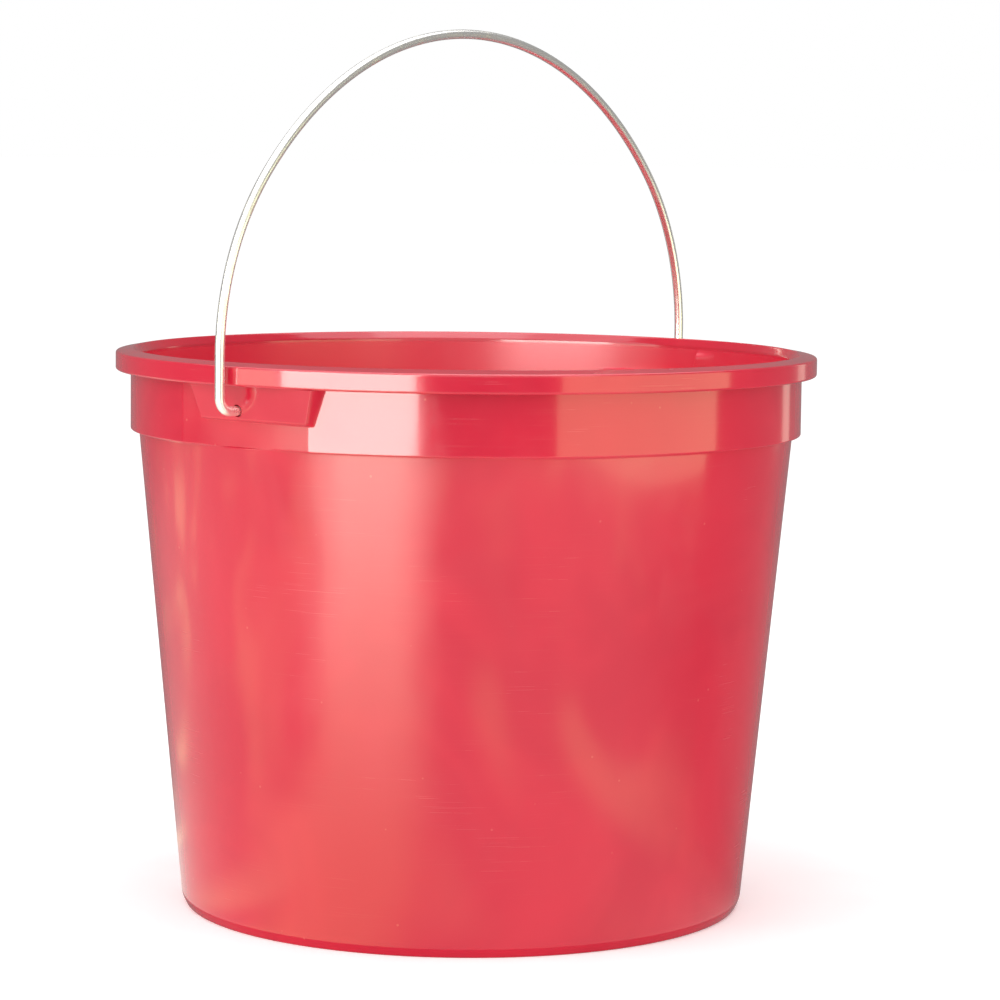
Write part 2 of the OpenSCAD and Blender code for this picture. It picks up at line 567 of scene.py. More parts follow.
@dataclass
class Pail:
    """The moulded pail: one closed skin over the foot, wall, collar, ears, rim, mouth, inside and floor.

    Rows run from the middle of the underside up the outside and down the inside to the middle of the
    floor. Columns run round the pail. Near an ear a column is named by its offset across the ear, so
    that columns follow the creases of the ear's flat and the slanted ends of its raised pad. A fan with
    the radius middle_r closes each middle, and a turned stretch takes the direction that it ends in from
    a point the length of lead beyond.
    """

    rim_r: float
    height: float
    hinge_z: float
    draft: float = radians(5.35)
    wall_t: float = 1.9 * MM
    floor_t: float = 2.2 * MM
    foot_bevel_h: float = 3.0 * MM
    foot_bevel_in: float = 1.2 * MM
    foot_ring_w: float = 5.0 * MM
    foot_hollow: float = 1.2 * MM
    floor_round: float = 6.0 * MM
    rim_overhang: float = 4.8 * MM
    skirt_h: float = 6.9 * MM
    rim_t: float = 2.0 * MM
    rim_top_w: float = 5.5 * MM
    rim_fall: float = 1.0 * MM
    rim_round: float = 0.8 * MM
    mouth_bevel_h: float = 2.5 * MM
    mouth_draft: float = radians(4.0)
    collar_h: float = 26.0 * MM
    collar_t: float = 2.2 * MM
    collar_step: float = 2.7 * MM
    flat_w: float = 51.6 * MM
    pad_h: float = 10.8 * MM
    pad_top_w: float = 50.0 * MM
    pad_low_w: float = 43.0 * MM
    pad_shift: float = 6.2 * MM
    pad_top_out: float = 4.3 * MM
    pad_low_out: float = 2.8 * MM
    pad_edge: float = 0.8 * MM
    pad_tuck: float = 0.4 * MM
    web_slope: float = 2.4 * MM
    recess_rise: float = 3.0 * MM
    hole_r: float = 1.8 * MM
    hole_lip: float = 0.25 * MM
    hole_cell: float = 0.55 * MM
    hole_cells: int = 8
    hole_ease: tuple[float, float] = (0.35, 0.7)
    ear_cells: tuple[int, ...] = (4, 6, 10, 3)
    side_cells: int = 40
    flat_blend: float = 0.12 * MM
    middle_r: float = 6.0 * MM
    lead: float = 3.0 * MM
    finish: MouldedPlastic = field(default_factory=MouldedPlastic)

    def __post_init__(self) -> None:
        """Work out the levels and radii that follow from the sizes."""
        self.skirt_z = self.height - self.skirt_h
        self.collar_z = self.height - self.collar_h
        self.pad_z = self.skirt_z - self.pad_h
        self.rim_edge_z = self.height - self.rim_fall
        self.mouth_z = self.height - self.mouth_bevel_h
        self.groove_z = self.rim_edge_z - self.rim_round - self.rim_t
        self.shelf_z = self.collar_z + self.collar_t
        self.web_z = self.skirt_z + self.rim_t
        self.floor_z = self.foot_hollow + self.floor_t
        self.crest_r = self.rim_r - self.rim_top_w
        self.collar_r = self.rim_r - self.rim_overhang
        self.mouth_r = self.collar_r - self.collar_t
        self.wall_r = self.collar_r - self.collar_step
        self.foot_r = self.wall_r - self.collar_z * tan(self.draft)
        self.flat_x = float(np.sqrt(self.collar_r**2 - (self.flat_w / 2) ** 2))
        self.flat_in_x = self.flat_x - self.collar_t
        self.hole_half = self.hole_cell * self.hole_cells / 2

    def wall_at(self, z: float) -> float:
        """Outside radius of the tapered wall at a height."""
        return self.foot_r + z * tan(self.draft)

    def mouth_at(self, z: Any) -> Any:
        """Inside radius of the collar at a height."""
        return self.mouth_r - (self.mouth_z - z) * tan(self.mouth_draft)

    def column_offsets(self, pad_w: float, inset: float = 0.0) -> tuple[np.ndarray, np.ndarray]:
        """Offsets of the columns across half the pail, from a quarter turn left of an ear to one right.

        Args:
            pad_w: Width of the raised pad at the level in question.
            inset: How far the pad's left end is moved inwards.

        Returns:
            The offsets, and for each column how much of the pad's height it carries, from 0 to 1.
        """
        left_end, right_end = self.pad_shift - pad_w / 2 + inset, self.pad_shift + pad_w / 2
        half_flat, half_hole = self.flat_w / 2, self.hole_half
        hole = np.linspace(-half_hole, half_hole, self.hole_cells + 1)
        stops = [CREASE - half_flat, EDGE + left_end, hole, CREASE + half_flat, EDGE + right_end]
        first = np.arcsin(stops[0][0] / self.collar_r)
        side = self.collar_r * np.sin(np.linspace(-pi / 2, first, self.side_cells + 1))[:-1]
        parts = [side, stops[0]]
        for here, following, count in zip(stops[:-1], stops[1:], self.ear_cells):
            parts += [np.linspace(here[-1], following[0], count + 1)[1:-1], following]
        last = np.arcsin(stops[-1][-1] / self.collar_r)
        parts.append(self.collar_r * np.sin(np.linspace(last, pi / 2, self.side_cells))[1:-1])
        offsets = np.concatenate(parts)
        rise = smooth_step((offsets - left_end) / self.pad_edge + 0.5)
        fall = smooth_step((right_end - offsets) / self.pad_edge + 0.5)
        return offsets, rise * fall

    def base_x(self, offset: np.ndarray) -> np.ndarray:
        """Distance out from the axis to the collar: its round, cut by the ear's flat."""
        round_x = np.sqrt(np.maximum(self.collar_r**2 - offset**2, 0.0))
        return smooth_min(round_x, np.full_like(round_x, self.flat_x), self.flat_blend)

    def base_angles(self, offset: np.ndarray) -> np.ndarray:
        """Angle from the ear's own direction to each column on the collar."""
        return np.arctan2(offset, self.base_x(offset))

    def outer_collar(self) -> np.ndarray:
        """Rows over the outside of the collar, with the flat and the raised pad of the ear.

        Formula: the distance out is that of the collar's base, plus the pad's mask times what is left to
        the pad's face, whose distance runs straight from its lower edge to the skirt. The mask is the
        column's share times a smooth step in height.

        Returns:
            Points (distance out, offset across, height) with the shape (rows, columns, 3).
        """
        low, share = self.column_offsets(self.pad_low_w)
        top, _ = self.column_offsets(self.pad_top_w)
        edge = EDGE[:-2] + self.pad_z
        hole = np.linspace(-self.hole_half, self.hole_half, self.hole_cells + 1) + self.hinge_z
        below = eased(self.collar_z + 0.7 * MM, edge[0], 6)[:-1]
        above = eased(hole[-1], self.skirt_z - 0.3 * MM, 6)[1:]
        under_skirt = self.skirt_z + UNDER_SKIRT
        behind_skirt = np.array([self.skirt_z + 0.5 * MM, self.groove_z - 0.8 * MM])
        z = np.concatenate([below, edge, hole, above, under_skirt, behind_skirt])[:, None]
        climb = np.clip((z - self.pad_z) / (self.skirt_z - self.pad_z), 0.0, 1.0)
        offset = low + (top - low) * climb
        face_x = self.flat_x + self.pad_low_out + (self.pad_top_out - self.pad_low_out) * climb
        mask = share * smooth_step((z - self.pad_z) / self.pad_edge + 0.5)
        base = self.base_x(offset)
        x = base + mask * (face_x - base)
        behind = np.sqrt(np.maximum((self.rim_r - self.rim_t - self.pad_tuck) ** 2 - offset**2, 0.0))
        x[-3:] = np.minimum(x, behind)[-3:]
        return np.stack([x, offset, z + 0.0 * offset], axis=-1)

    def inner_collar(self) -> np.ndarray:
        """Rows down the inside of the collar, where the ear's flat stands in as a plane.

        Formula: the distance out is the mouth's round above the ear's web, and the lower of that round and
        the flat's plane below it, with a smooth step between. Behind the pad the round goes on down to
        the floor of the recess.

        Returns:
            Points (distance out, offset across, height) with the shape (rows, columns, 3).
        """
        low, _ = self.column_offsets(self.pad_low_w, self.collar_t)
        top, share = self.column_offsets(self.pad_top_w, self.collar_t)
        hole = np.linspace(self.hole_half, -self.hole_half, self.hole_cells + 1) + self.hinge_z
        recess_z = self.hinge_z + self.recess_rise
        middle = np.linspace(self.web_z + STEP[-1], recess_z + STEP[1], 6)[1:-1]
        below = eased(hole[-1], self.shelf_z + 0.8 * MM, 5)[1:]
        z = np.concatenate([self.web_z + STEP, middle, recess_z + STEP[1:-1], hole, below])[:, None]
        climb = np.clip((z - self.pad_z) / (self.skirt_z - self.pad_z), 0.0, 1.0)
        offset = (low + (top - low) * climb) * self.mouth_at(z) / self.collar_r
        round_x = np.sqrt(np.maximum(self.mouth_at(z) ** 2 - offset**2, 0.0))
        flat = smooth_min(round_x, np.full_like(round_x, self.flat_in_x), self.flat_blend)
        under_web = smooth_step((self.web_z - z) / self.web_slope + 0.5)
        in_recess = share * smooth_step((z - recess_z) / self.pad_edge + 0.5)
        mask = under_web * (1.0 - in_recess)
        return np.stack([round_x + mask * (flat - round_x), offset, z + 0.0 * offset], axis=-1)

    def turned_rows(self, corners: Sequence[Corner], angles: np.ndarray) -> np.ndarray:
        """Rows of a turned stretch of the pail, whose corners may change from column to column.

        Args:
            corners: The corners of its section.
            angles: Angle of each column.

        Returns:
            Points (distance out, offset across, height) with the shape (rows, columns, 3).
        """
        rows = chain(corners, len(angles))
        return np.stack([rows[..., 0] * np.cos(angles), rows[..., 0] * np.sin(angles), rows[..., 1]], axis=-1)

    def skin_rows(self) -> tuple[np.ndarray, int, int, int]:
        """All rows of the skin over half the pail.

        Returns:
            The points, and the numbers of the first row of the outer and of the inner hole's block, and of
            the first row of the inside.
        """
        outer, inner = self.outer_collar(), self.inner_collar()
        low_angles = self.base_angles(self.column_offsets(self.pad_low_w)[0])
        top_angles = self.base_angles(self.column_offsets(self.pad_top_w)[0])
        (low_r, _), (top_r, pad_angles) = polar(outer[0]), polar(outer[-1])
        inner_r, inner_angles = polar(inner[-1])
        hollow_r = self.foot_r - self.foot_bevel_in - self.foot_ring_w
        groove_r = self.rim_r - self.rim_t
        outside = self.turned_rows([
            Corner(self.middle_r, self.foot_hollow, cells=10),
            Corner(hollow_r - self.foot_hollow, self.foot_hollow, 0.8 * MM, 3),
            Corner(hollow_r, 0.0, 0.5 * MM, 3),
            Corner(self.foot_r - self.foot_bevel_in, 0.0, 0.7 * MM, 3),
            Corner(self.wall_at(self.foot_bevel_h), self.foot_bevel_h, 6.0 * MM, 26),
            Corner(self.wall_r, self.collar_z, 0.35 * MM, 3),
            Corner(low_r, self.collar_z, 0.45 * MM),
            Corner(low_r, self.collar_z + self.lead),
        ], low_angles)
        rim = self.turned_rows([
            Corner(top_r, self.groove_z - self.lead),
            Corner(top_r, self.groove_z, 0.4 * MM, 3),
            Corner(groove_r, self.groove_z, 0.4 * MM, 3),
            Corner(groove_r, self.skirt_z, 0.5 * MM, 3),
            Corner(self.rim_r, self.skirt_z, 0.7 * MM, 6),
            Corner(self.rim_r, self.rim_edge_z, self.rim_round, 6),
            Corner(self.crest_r, self.height, 0.5 * MM, 3),
            Corner(self.mouth_r, self.mouth_z, 1.6 * MM),
            Corner(self.mouth_at(self.mouth_z - self.lead), self.mouth_z - self.lead),
        ], top_angles)
        fade = np.linspace(1.0, 0.0, ARC_ROWS)[:, None]
        angle = top_angles + (pad_angles - top_angles) * fade
        radius = np.hypot(rim[:ARC_ROWS, :, 0], rim[:ARC_ROWS, :, 1])
        rim[:ARC_ROWS, :, 0], rim[:ARC_ROWS, :, 1] = radius * np.cos(angle), radius * np.sin(angle)
        inside = self.turned_rows([
            Corner(inner_r + self.lead * tan(self.mouth_draft), self.shelf_z + self.lead),
            Corner(inner_r, self.shelf_z, 0.4 * MM, 3),
            Corner(self.wall_at(self.shelf_z) - self.wall_t, self.shelf_z, 0.5 * MM, 22),
            Corner(self.wall_at(self.floor_z) - self.wall_t, self.floor_z, self.floor_round, 12),
            Corner(self.middle_r, self.floor_z),
        ], inner_angles)
        rows = np.concatenate([outside, outer, rim, inner, inside])
        outer_z, inner_z = outer[:, 0, 2], inner[:, 0, 2]
        outer_block = len(outside) + int(np.argmin(np.abs(outer_z - (self.hinge_z - self.hole_half))))
        inner_start = len(outside) + len(outer) + len(rim)
        inner_block = inner_start + int(np.argmin(np.abs(inner_z - (self.hinge_z + self.hole_half))))
        return rows, outer_block, inner_block, inner_start

    def block_ring(self, first_row: int, first_column: int, columns: int, upward: bool) -> np.ndarray:
        """Point numbers round a hole's square block, counter-clockwise as seen from outside the pail.

        Args:
            first_row: First row of the block.
            first_column: First column of the block.
            columns: Number of columns of the whole skin.
            upward: Whether the rows rise there.

        Returns:
            The point numbers, four times the cells of a side.
        """
        count = self.hole_cells
        step = np.arange(count)
        across = np.concatenate([step, np.full(count, count), count - step, np.zeros(count, int)])
        up = np.concatenate([np.zeros(count, int), step, np.full(count, count), count - step])
        row = first_row + (up if upward else count - up)
        return row * columns + first_column + across

    def hole_rings(self, outer_ring: np.ndarray, inner_ring: np.ndarray) -> np.ndarray:
        """Rings of points from the outer block, through the ear's hole, to the inner block.

        Formula: in the plane across the hole, a ring lies between the block's square and the hole's
        circle by its share; along the hole, it lies between the two faces by its depth, and the lips
        are quarter rounds.

        Args:
            outer_ring: Points of the outer block's edge, in the ear's own axes.
            inner_ring: Points of the inner block's edge.

        Returns:
            Points with the shape (rings, points in a ring, 3), without the two edges themselves.
        """
        lip, ease = np.linspace(0.0, pi / 2, LIP_ROWS), np.array(self.hole_ease)
        end, rest = LIP_ROWS + len(ease), 2 * LIP_ROWS + len(ease)
        share = np.concatenate([ease, np.ones(3 * LIP_ROWS), ease[::-1]])
        grown = np.concatenate([1.0 - np.sin(lip), np.zeros(LIP_ROWS), 1.0 - np.cos(lip)])
        radius = self.hole_r + self.hole_lip * np.concatenate([np.ones_like(ease), grown, np.ones_like(ease)])
        sunk = np.concatenate([0.0 * ease, 1.0 - np.cos(lip), np.zeros(rest)]) * self.hole_lip
        raised = np.concatenate([np.zeros(rest), 1.0 - np.sin(lip), 0.0 * ease]) * self.hole_lip
        depth = np.concatenate([np.zeros(end), np.linspace(0.2, 0.8, LIP_ROWS), np.ones(end)])
        middle = np.array([0.0, self.hinge_z])
        first, last = outer_ring[:, 1:] - middle, inner_ring[:, 1:] - middle
        near_outer = (depth < 0.5)[:, None, None]
        square = np.where(near_outer, first, last)
        circle = square / np.linalg.norm(square, axis=2, keepdims=True) * radius[:, None, None]
        flat = square + (circle - square) * share[:, None, None]
        face_slope = (self.pad_top_out - self.pad_low_out) / self.pad_h
        outer_x = self.flat_x + self.pad_low_out + (flat[..., 1] + self.hinge_z - self.pad_z) * face_slope
        x = outer_x + (self.flat_in_x - outer_x) * depth[:, None] - sunk[:, None] + raised[:, None]
        return np.stack([x, flat[..., 0], flat[..., 1] + self.hinge_z], axis=-1)

    def build(self) -> bpy.types.Object:
        """Join the skin of both halves, the two holes and the two middles into one closed piece.

        Returns:
            The pail.
        """
        rows, outer_block, inner_block, inner_start = self.skin_rows()
        count, half = rows.shape[:2]
        columns = 2 * half
        offsets = self.column_offsets(self.pad_low_w)[0]
        first_column = int(np.argmin(np.abs(offsets + self.hole_half)))
        skin = np.concatenate([rows * [ear.value, ear.value, 1.0] for ear in (Ear.LEFT, Ear.RIGHT)], axis=1)
        quads = grid_quads(count, columns)
        kept = np.ones(quads.shape[:2], dtype=bool)
        points = [skin.reshape(-1, 3)]
        faces = []
        number = count * columns
        for index, ear in enumerate((Ear.LEFT, Ear.RIGHT)):
            start = first_column + index * half
            cells = slice(start, start + self.hole_cells)
            kept[outer_block:outer_block + self.hole_cells, cells] = False
            kept[inner_block:inner_block + self.hole_cells, cells] = False
            outer_ring = self.block_ring(outer_block, start, columns, True)
            inner_ring = self.block_ring(inner_block, start, columns, False)
            facing = np.array([ear.value, ear.value, 1.0])
            rings = self.hole_rings(points[0][outer_ring] * facing, points[0][inner_ring] * facing)
            size = rings.shape[1]
            numbers = number + np.arange(rings.shape[0] * size).reshape(rings.shape[0], size)
            points.append((rings * facing).reshape(-1, 3))
            number += numbers.size
            loops = np.concatenate([outer_ring[None], numbers, inner_ring[None]])
            beside = np.roll(loops, -1, axis=1)
            faces.append(np.stack([loops[:-1], beside[:-1], beside[1:], loops[1:]], axis=-1).reshape(-1, 4))
        faces.append(quads[kept])
        ring = np.arange(columns)
        last = (count - 1) * columns
        points.append(np.array([[0.0, 0.0, self.foot_hollow], [0.0, 0.0, self.floor_z]]))
        under = np.stack([np.full(columns, number), (ring + 1) % columns, ring], axis=-1)
        floor = np.stack([last + ring, last + (ring + 1) % columns, np.full(columns, number + 1)], axis=-1)
        faces += [under, floor]
        piece = make_piece("pail_moulding", np.concatenate(points), faces, self.finish.material())
        number_of = np.arange(len(piece.data.vertices))
        inside = (number_of >= inner_start * columns) & (number_of < count * columns)
        inside[-1] = True
        # This mask also picks out where the brighter red of the painted inside glow goes.
        layer = piece.data.attributes.new("inside", "FLOAT", "POINT")
        layer.data.foreach_set("value", inside.astype(np.float32))
        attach(piece, "pail")
        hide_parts("pail")
        return piece


# ---- The bail ----


@dataclass
class Bail:
    """The wire bail: one tube carried along a line in the XZ plane, from one turned-down end to the other."""

    hinge_z: float
    crown_z: float
    rim_r: float
    ear_in_x: float
    wire_r: float = 1.5 * MM
    leg_gap: float = 1.3 * MM
    leg_h: float = 16.7 * MM
    shoulder: float = radians(40.0)
    outer_bend_r: float = 4.5 * MM
    inner_bend_r: float = 3.0 * MM
    hook_gap: float = 0.4 * MM
    hook_h: float = 9.0 * MM
    step: float = 1.6 * MM
    sides: int = 28
    end_cells: int = 4
    run_cells: int = 7
    leg_cells: int = 8
    inner_bend_cells: int = 8
    outer_bend_cells: int = 10
    end_in: float = 0.35
    end_rings: tuple[tuple[float, float], ...] = ((0.0, 0.36), (0.0, 0.72), (0.12, 0.93))
    finish: ZincWire = field(default_factory=ZincWire)

    def __post_init__(self) -> None:
        """Work out where the wire's line runs from what it clears."""
        self.leg_x = self.rim_r + self.leg_gap + self.wire_r
        self.top_z = self.crown_z - self.wire_r

    @staticmethod
    def arc(x: float, z: float, radius: float, start: float, stop: float, cells: int) -> np.ndarray:
        """Points round part of a circle in the XZ plane: centre plus radius times cosine and sine."""
        angle = np.linspace(start, stop, cells + 1)
        return np.stack([x + radius * np.cos(angle), z + radius * np.sin(angle)], axis=-1)

    def half_line(self) -> np.ndarray:
        """The line of one half of the wire, from its turned-down end to the middle of the top.

        Formula: a straight end, a quarter bend into the ear, a straight run out through it, a quarter
        bend up, a straight leg, a shoulder arc, and a top arc whose centre lies on the axis. The shoulder's
        radius is the one for which both arcs meet in one line and the top arc reaches the top.

        Returns:
            Points (x, z).
        """
        arch_h = self.top_z - self.hinge_z - self.leg_h
        lean = 1.0 / cos(self.shoulder) - tan(self.shoulder)
        shoulder_r = (arch_h - self.leg_x * lean) / (1.0 - lean)
        shoulder_x = self.leg_x - shoulder_r
        top_r = shoulder_r + shoulder_x / cos(self.shoulder)
        start_x = self.ear_in_x - self.hook_gap
        hook_x = start_x - self.inner_bend_r
        ends = self.hinge_z - np.linspace(self.hook_h, self.inner_bend_r, self.end_cells + 1)[:-1]
        run = np.linspace(start_x, self.leg_x - self.outer_bend_r, self.run_cells + 1)[1:-1]
        leg = np.linspace(self.outer_bend_r, self.leg_h, self.leg_cells + 1)[1:-1] + self.hinge_z
        parts = [
            np.stack([np.full_like(ends, hook_x), ends], axis=-1),
            self.arc(start_x, self.hinge_z - self.inner_bend_r, self.inner_bend_r, pi, pi / 2,
                     self.inner_bend_cells),
            np.stack([run, np.full_like(run, self.hinge_z)], axis=-1),
            self.arc(self.leg_x - self.outer_bend_r, self.hinge_z + self.outer_bend_r, self.outer_bend_r,
                     1.5 * pi, 2.0 * pi, self.outer_bend_cells),
            np.stack([np.full_like(leg, self.leg_x), leg], axis=-1),
            self.arc(shoulder_x, self.hinge_z + self.leg_h, shoulder_r, 0.0, self.shoulder,
                     int(shoulder_r * self.shoulder / self.step)),
            self.arc(0.0, self.top_z - top_r, top_r, self.shoulder, pi / 2,
                     int(top_r * (pi / 2 - self.shoulder) / self.step))[1:],
        ]
        return np.concatenate(parts)

    def build(self) -> bpy.types.Object:
        """Carry the wire's circle along its line, and close both ends with a small bevel.

        Formula: each ring is the line's point plus the wire's radius times cosine along the line's normal
        in the XZ plane and sine along Y.

        Returns:
            The bail.
        """
        half = self.half_line()
        line = np.concatenate([half, (half * [-1.0, 1.0])[-2::-1]])
        tangent = np.gradient(line, axis=0)
        tangent /= np.linalg.norm(tangent, axis=1, keepdims=True)
        start_in, start_scale = np.array(self.end_rings).T
        start_in = start_in * self.wire_r
        head = line[0] + tangent[0] * start_in[:, None]
        tail = line[-1] - tangent[-1] * start_in[::-1, None]
        line[0] += tangent[0] * self.end_in * self.wire_r
        line[-1] -= tangent[-1] * self.end_in * self.wire_r
        line = np.concatenate([head, line, tail])
        scale = np.concatenate([start_scale, np.ones(len(tangent)), start_scale[::-1]])
        added = len(start_scale)
        tangent = tangent[[0] * added + list(range(len(tangent))) + [-1] * added]
        around = np.arange(self.sides) * 2.0 * pi / self.sides
        normal = np.stack([tangent[:, 1], -tangent[:, 0]], axis=-1)[:, None]
        out = (self.wire_r * scale)[:, None] * np.cos(around)
        rings = np.stack([
            line[:, None, 0] + normal[..., 0] * out,
            (self.wire_r * scale)[:, None] * np.sin(around),
            line[:, None, 1] + normal[..., 1] * out,
        ], axis=-1)
        count = len(rings)
        quads = grid_quads(count, self.sides).reshape(-1, 4)
        ring = np.arange(self.sides)
        beside = (ring + 1) % self.sides
        total, last = count * self.sides, (count - 1) * self.sides
        start = np.stack([np.full(self.sides, total), beside, ring], axis=-1)
        stop = np.stack([last + ring, last + beside, np.full(self.sides, total + 1)], axis=-1)
        tips = np.stack([line[[0, -1], 0], np.zeros(2), line[[0, -1], 1]], axis=-1)
        points = np.concatenate([rings.reshape(-1, 3), tips])
        piece = make_piece("wire_bail", points, [quads, start, stop], self.finish.material())
        self.unwrap(piece, line, count)
        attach(piece, "bail")
        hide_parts("bail")
        return piece

    def unwrap(self, piece: bpy.types.Object, line: np.ndarray, count: int) -> None:
        """Give the wire a UV map: metres along it, and metres around it counted from the inner side.

        The way round is folded at the outer side, so the map has no seam.

        Args:
            piece: The wire.
            line: Its line.
            count: Number of rings.
        """
        steps = np.linalg.norm(np.diff(line, axis=0), axis=1)
        length = np.concatenate([[0.0], np.cumsum(steps)])
        turn = np.arange(self.sides) * 2.0 * pi / self.sides
        folded = np.minimum(turn, 2.0 * pi - turn) * self.wire_r
        along = np.concatenate([np.repeat(length, self.sides), [0.0, length[-1]]])
        around = np.concatenate([np.tile(folded, count), [0.0, 0.0]])
        mesh = piece.data
        corner = np.empty(len(mesh.loops), dtype=np.int32)
        mesh.loops.foreach_get("vertex_index", corner)
        layer = mesh.uv_layers.new(name="wire")
        layer.data.foreach_set("uv", np.stack([along[corner], around[corner]], axis=-1).ravel())


# ---- The studio ----


class Role(Enum):
    """What a light does: light everything, or only shine back from glossy surfaces."""

    LIGHT = "light"
    SHINE = "shine"


@dataclass(frozen=True)
class SoftBox:
    """A rectangular light, placed by where it stands round the pail as the camera sees it."""

    name: str
    role: Role
    azimuth: float
    distance: float
    height: float
    width: float
    tall: float
    radiance: float
    tint: tuple[float, float, float] = (1.0, 1.0, 1.0)

    def build(self, camera_azimuth: float, target_z: float) -> bpy.types.Object:
        """Make the light and aim it.

        Args:
            camera_azimuth: Azimuth of the camera, in degrees.
            target_z: Height of the point on the pail's axis that it faces.

        Returns:
            The light.
        """
        lamp = bpy.data.lights.new(self.name, "AREA")
        lamp.shape = "RECTANGLE"
        lamp.size, lamp.size_y = self.width, self.tall
        lamp.energy = self.radiance * pi * self.width * self.tall
        lamp.color = self.tint
        made = bpy.data.objects.new(self.name, lamp)
        bearing = radians(camera_azimuth + self.azimuth)
        spot = Vector((sin(bearing), -cos(bearing), 0.0)) * self.distance
        spot.z = self.height
        made.location = spot
        made.rotation_euler = (Vector((0.0, 0.0, target_z)) - spot).to_track_quat("-Z", "Y").to_euler()
        made.visible_camera = False
        made.visible_diffuse = self.role is Role.LIGHT
        bpy.context.scene.collection.objects.link(made)
        return made


@dataclass(frozen=True)
class FloorGlow:
    """The floor's own sheen in front of the pail, which only glossy surfaces see.

    It is a sector of light on the floor that brightens away from the pail and has soft, wavy sides.
    """

    name: str = "floor_glow"
    azimuth: float = -31.0
    half_angle: float = radians(17.0)
    soft_angle: float = radians(10.0)
    front_angle: float = radians(75.0)
    back_angle: float = radians(125.0)
    start: float = 0.093
    stop: float = 0.75
    outer: float = 1.6
    ripple: float = 0.25
    edge_waves: Pattern = Pattern(9.0, 2.0, 0.5, 0.8)
    patches: Pattern = Pattern(4.0, 1.0, 0.5, 1.2, rise=(0.50, 0.70))
    near: Colour = colour(1.6, 1.55, 1.0)
    far: Colour = colour(6.0, 6.0, 5.0)
    plain: Colour = colour(0.85, 0.85, 0.80)
    patch: Colour = colour(1.8, 1.75, 1.2)
    dim: Colour = colour(0.25, 0.25, 0.25)
    lift: float = 1.0 * MM

    def material(self, camera_azimuth: float) -> bpy.types.Material:
        """Make the glow's finish.

        Args:
            camera_azimuth: Azimuth of the camera, in degrees.

        Returns:
            The material.
        """
        made = bpy.data.materials.new(self.name)
        graph = Graph(made)
        turn = -radians(camera_azimuth + self.azimuth)
        turned = graph.stretched(graph.place(), (1.0, 1.0, 1.0), (0.0, 0.0, turn))
        across = graph.node("ShaderNodeSeparateXYZ", {}, {"Vector": turned}, "X")
        ahead = 0.0 - across.beside("Y")
        angle = graph.node("ShaderNodeMath", {"operation": "ARCTAN2"}, {0: across, 1: ahead})
        size = graph.node("ShaderNodeMath", {"operation": "ABSOLUTE"}, {0: angle})
        reach = graph.node("ShaderNodeVectorMath", {"operation": "LENGTH"}, {0: turned}, "Value")
        wave = graph.noise(graph.place(), self.edge_waves) - 0.5
        edge = size + wave * self.ripple
        sector = 1.0 - edge.above(self.half_angle - self.soft_angle, self.half_angle + self.soft_angle)
        span = reach.above(self.start, self.stop)
        patches = graph.noise(graph.place(), self.patches)
        beam = graph.mixed(span, self.near, self.far)
        behind = size.above(self.front_angle, self.back_angle)
        low = graph.mixed(patches, self.plain, self.patch)
        low = graph.mixed(behind, low, self.dim)
        shown = graph.mixed(sector, low, beam)
        shown = graph.mixed(reach.above(self.stop, self.stop * self.outer), shown, self.dim)
        graph.surface({
            "Base Color": colour(0.0, 0.0, 0.0),
            "Specular IOR Level": 0.0,
            "Emission Color": shown,
            "Emission Strength": 1.0,
        })
        return made

    def build(self, camera_azimuth: float) -> bpy.types.Object:
        """Make the ring of floor that glows.

        Args:
            camera_azimuth: Azimuth of the camera, in degrees.

        Returns:
            The glow.
        """
        cells = 64
        turn = np.arange(cells) * 2.0 * pi / cells
        ring = np.stack([np.cos(turn), np.sin(turn), np.zeros(cells)], axis=-1)
        points = np.concatenate([ring * self.start, ring * self.stop * self.outer]) + [0.0, 0.0, self.lift]
        quads = grid_quads(2, cells).reshape(-1, 4)[:, ::-1]
        made = make_piece(self.name, points, [quads], self.material(camera_azimuth))
        made.visible_camera = made.visible_diffuse = made.visible_shadow = False
        return made


@dataclass(frozen=True)
class Viewpoint:
    """The camera: where it stands relative to the rim, and how it is turned."""

    azimuth: float = -50.44
    distance: float = 1.1648
    above_rim: float = 66.9 * MM
    pitch: float = radians(5.682)
    yaw: float = radians(0.556)
    roll: float = radians(0.664)
    lens: float = 129.68

    def build(self, rim_z: float) -> bpy.types.Object:
        """Make the camera.

        Args:
            rim_z: Height of the rim.

        Returns:
            The camera.
        """
        bearing = radians(self.azimuth)
        back = Vector((sin(bearing), -cos(bearing), 0.0))
        right, up = Vector((cos(bearing), sin(bearing), 0.0)), Vector((0.0, 0.0, 1.0))
        ahead = -back * cos(self.yaw) + right * sin(self.yaw)
        right = right * cos(self.yaw) + back * sin(self.yaw)
        view = ahead * cos(self.pitch) - up * sin(self.pitch)
        above = ahead * sin(self.pitch) + up * cos(self.pitch)
        side = right * cos(self.roll) + above * sin(self.roll)
        above = above * cos(self.roll) - right * sin(self.roll)
        turned = Matrix((side, above, -view)).transposed().to_4x4()
        lens = bpy.data.cameras.new("camera")
        lens.lens = self.lens
        lens.sensor_width = 36.0
        lens.clip_start, lens.clip_end = 0.01, 100.0
        camera = bpy.data.objects.new("camera", lens)
        place = back * self.distance + up * (rim_z + self.above_rim)
        camera.matrix_world = Matrix.Translation(place) @ turned
        bpy.context.scene.collection.objects.link(camera)
        bpy.context.scene.camera = camera
        return camera


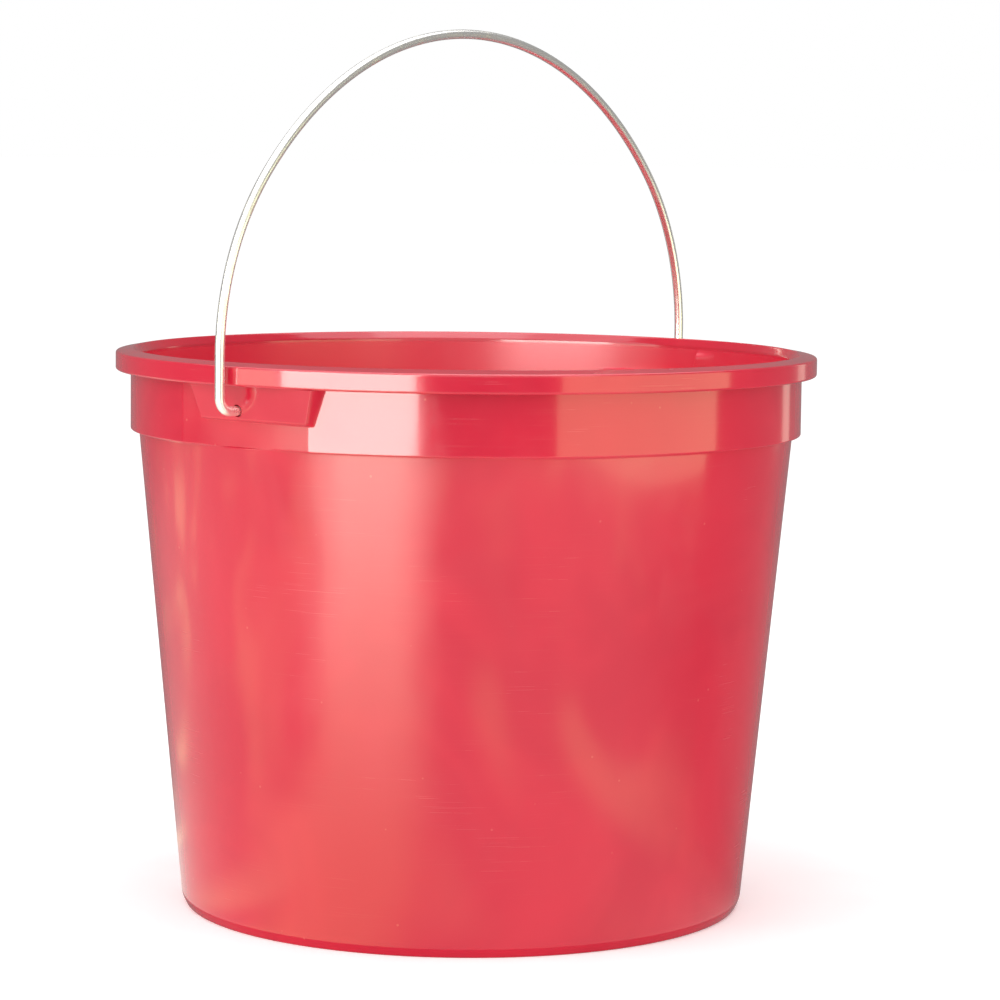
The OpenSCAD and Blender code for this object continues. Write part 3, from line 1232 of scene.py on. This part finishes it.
@dataclass
class Studio:
    """Plain pale floor, even surroundings, soft lights and the camera."""

    viewpoint: Viewpoint
    boxes: Sequence[SoftBox]
    glow: FloorGlow = field(default_factory=FloorGlow)
    floor_size: float = 60.0
    floor_finish: StudioFloor = field(default_factory=StudioFloor)
    backdrop: float = 1.0
    ambient: float = 0.87
    mirrored: float = 0.25

    def build(self, rim_z: float) -> None:
        """Make the studio.

        Args:
            rim_z: Height of the rim.
        """
        half = self.floor_size / 2
        corners = np.array([[-half, -half, 0.0], [half, -half, 0.0], [half, half, 0.0], [-half, half, 0.0]])
        floor = make_piece("floor", corners, [np.array([[0, 1, 2, 3]])], self.floor_finish.material())
        floor.visible_glossy = False
        world = bpy.data.worlds.new("surroundings")
        bpy.context.scene.world = world
        graph = Graph(world)
        seen = graph.node("ShaderNodeLightPath", {}, {}, "Is Camera Ray")
        glossy = seen.beside("Is Glossy Ray")
        strength = (
            seen * (self.backdrop - self.ambient)
            + glossy * (self.mirrored - self.ambient)
            + self.ambient
        )
        light = graph.node("ShaderNodeBackground", {}, {"Color": colour(1.0, 1.0, 1.0), "Strength": strength})
        graph.node("ShaderNodeOutputWorld", {}, {"Surface": light})
        self.viewpoint.build(rim_z)
        for box in self.boxes:
            box.build(self.viewpoint.azimuth, min(box.height, rim_z))
        self.glow.build(self.viewpoint.azimuth)
        bpy.context.scene.view_settings.view_transform = "Standard"


LIGHTS = (
    SoftBox("key_left", Role.SHINE, -36.0, 0.82, 0.30, 0.66, 0.60, 11.0, (1.0, 1.0, 0.92)),
    SoftBox("card_left", Role.SHINE, -69.0, 1.1, 0.20, 0.36, 0.40, 3.0, (1.0, 1.0, 0.80)),
    SoftBox("card_right", Role.SHINE, 55.5, 0.46, 0.19, 0.50, 0.28, 1.9, (1.0, 1.0, 0.58)),
    SoftBox("strip_right", Role.SHINE, 136.0, 1.2, 0.20, 0.16, 0.50, 0.9, (1.0, 0.98, 0.80)),
    SoftBox("front", Role.SHINE, 10.0, 2.5, 1.18, 3.4, 1.85, 1.1, (1.0, 0.98, 0.88)),
    SoftBox("sky", Role.SHINE, 0.0, 0.01, 2.0, 3.2, 3.2, 2.0),
    SoftBox("soft_left", Role.LIGHT, -60.0, 1.6, 1.1, 1.2, 1.2, 1.6),
    SoftBox("overhead", Role.LIGHT, 10.0, 0.35, 2.2, 1.6, 1.6, 1.6),
)


def main() -> None:
    """Build the pieces in order, then the studio, and report each one."""
    logging.basicConfig(level=logging.INFO, format="%(name)s: %(message)s")
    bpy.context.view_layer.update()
    pail_box, bail_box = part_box("pail"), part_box("bail")
    hinge = frame["record"]["behaviour"]["joints"][0]["pos_m"]
    pail = Pail(rim_r=pail_box[1].y, height=pail_box[1].z, hinge_z=hinge[2])
    bail = Bail(hinge_z=hinge[2], crown_z=bail_box[1].z, rim_r=pail.rim_r, ear_in_x=pail.flat_in_x)
    for piece in (pail.build(), bail.build()):
        log.info("%s: %d points, %d faces", piece.name, len(piece.data.vertices), len(piece.data.polygons))
    Studio(Viewpoint(), LIGHTS).build(pail.height)


if __name__ == "__main__":
    main()
